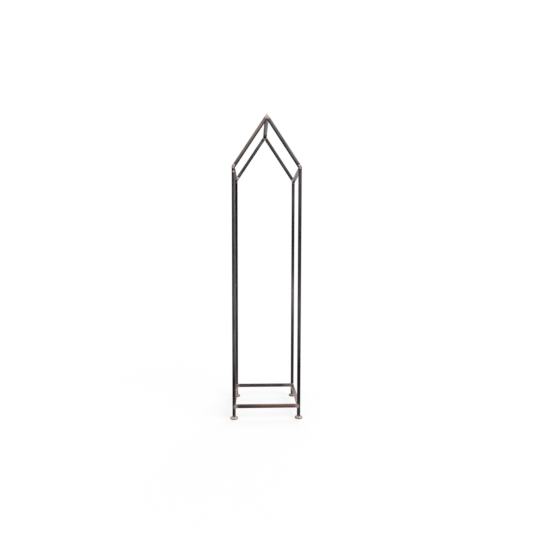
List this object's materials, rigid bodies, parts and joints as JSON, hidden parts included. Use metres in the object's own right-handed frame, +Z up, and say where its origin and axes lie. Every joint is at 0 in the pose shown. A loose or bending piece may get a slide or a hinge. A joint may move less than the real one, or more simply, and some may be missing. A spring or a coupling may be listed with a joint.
{
  "type": "garden obelisk",
  "caption": "Tall open garden obelisk of welded square steel tube: square plan, gabled house-shaped top, low base rails and round disc feet.",
  "frame": {"origin": "on the ground, under the centre of the frame", "axes": "+Z up along the legs; -Y is the front gable; +X is to the right seen from the front"},
  "size_m": [0.468, 0.468, 1.942],
  "materials": {
    "frame_tube": "dark mill-scale steel under clear lacquer, satin, with brown heat tint near the welds",
    "foot_disc": "ground steel with a warm tint under clear lacquer, darker at the rim",
    "weld_metal": "ground bright weld metal under clear lacquer"
  },
  "bodies": {
    "root": {"leg_front_left": "frame_tube", "leg_front_right": "frame_tube", "leg_rear_left": "frame_tube", "leg_rear_right": "frame_tube", "rafter_front_left": "frame_tube", "rafter_front_right": "frame_tube", "rafter_rear_left": "frame_tube", "rafter_rear_right": "frame_tube", "ridge_bar": "frame_tube", "eave_bar_left": "frame_tube", "eave_bar_right": "frame_tube", "base_rail_front": "frame_tube", "base_rail_rear": "frame_tube", "base_rail_left": "frame_tube", "base_rail_right": "frame_tube", "foot_front_left": "foot_disc", "foot_front_right": "foot_disc", "foot_rear_left": "foot_disc", "foot_rear_right": "foot_disc", "foot_weld_front_left": "weld_metal", "foot_weld_front_right": "weld_metal", "foot_weld_rear_left": "weld_metal", "foot_weld_rear_right": "weld_metal", "rail_weld_front_left": "weld_metal", "rail_weld_front_right": "weld_metal", "rail_weld_rear_left": "weld_metal", "rail_weld_rear_right": "weld_metal", "eave_weld_front_left": "weld_metal", "eave_weld_front_right": "weld_metal", "eave_weld_rear_left": "weld_metal", "eave_weld_rear_right": "weld_metal", "apex_weld_front": "weld_metal", "apex_weld_rear": "weld_metal"}
  },
  "joints": []
}
